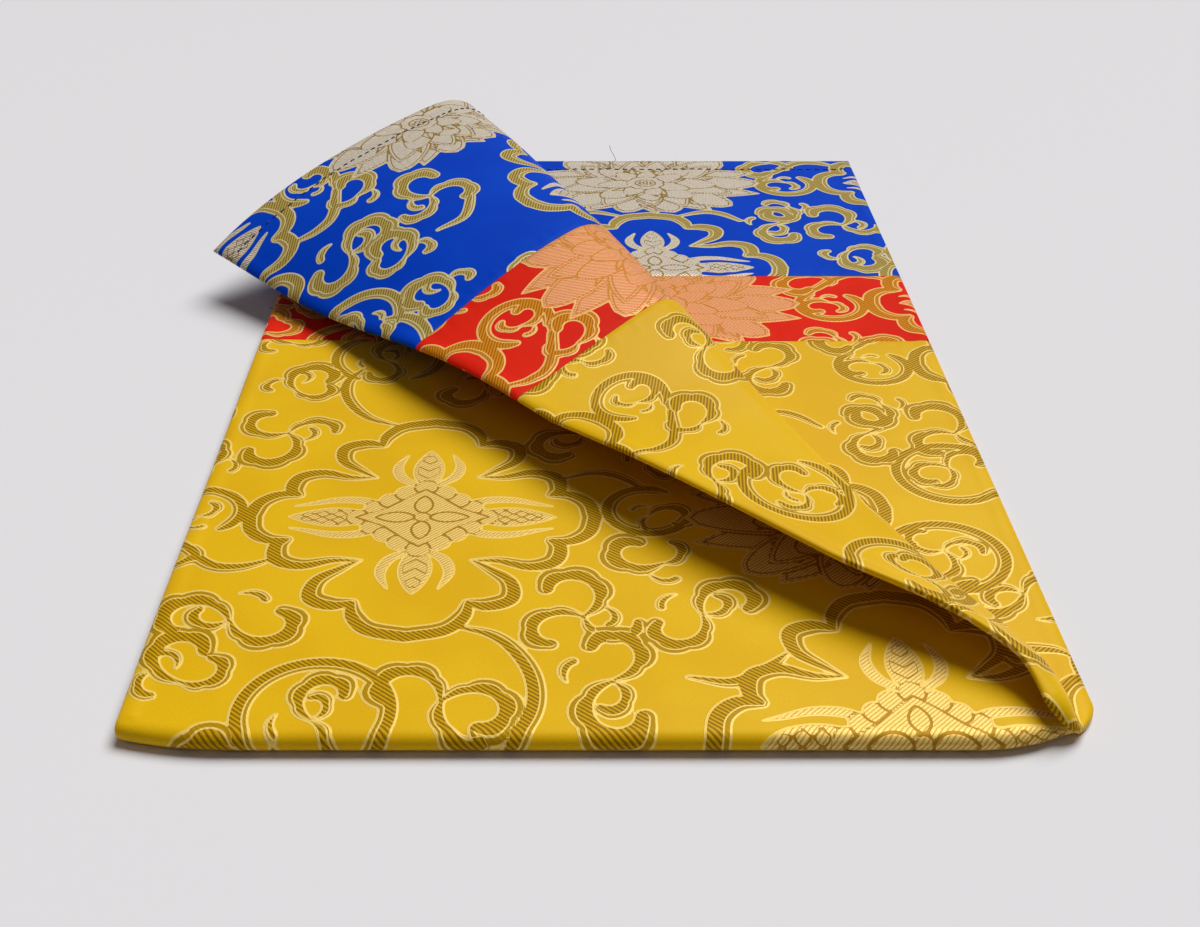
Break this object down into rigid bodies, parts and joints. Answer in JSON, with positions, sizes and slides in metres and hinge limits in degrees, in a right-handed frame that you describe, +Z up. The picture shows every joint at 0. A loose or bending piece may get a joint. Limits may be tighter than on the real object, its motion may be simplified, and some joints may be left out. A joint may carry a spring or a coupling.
{
  "type": "brocade panel",
  "caption": "Double-faced brocade panel of yellow, red and blue figured strips, folded in half, one side of its upper half turned over in a soft diagonal roll",
  "frame": {"origin": "On the resting surface, under the middle of the panel's box as folded", "axes": "+Y from the front fold towards the hem ends, +X to the right, +Z up"},
  "size_m": [0.2856, 0.424, 0.0441],
  "materials": {
    "yellow_brocade": "golden yellow satin with tone-on-tone hatched figures outlined in pale gold",
    "red_brocade": "vermilion satin with orange-gold scrolls and pale peach flowers",
    "blue_brocade": "cobalt satin with olive-gold scrolls and cream flowers, hemmed with dark blue thread"
  },
  "bodies": {
    "root": {"face_centre": "yellow_brocade", "face_upper_red": "red_brocade", "face_upper_blue": "blue_brocade", "face_lower_red": "red_brocade", "face_lower_blue": "blue_brocade", "reverse_centre": "yellow_brocade", "reverse_upper_red": "red_brocade", "reverse_upper_blue": "blue_brocade", "reverse_lower_red": "red_brocade", "reverse_lower_blue": "blue_brocade"}
  },
  "joints": []
}
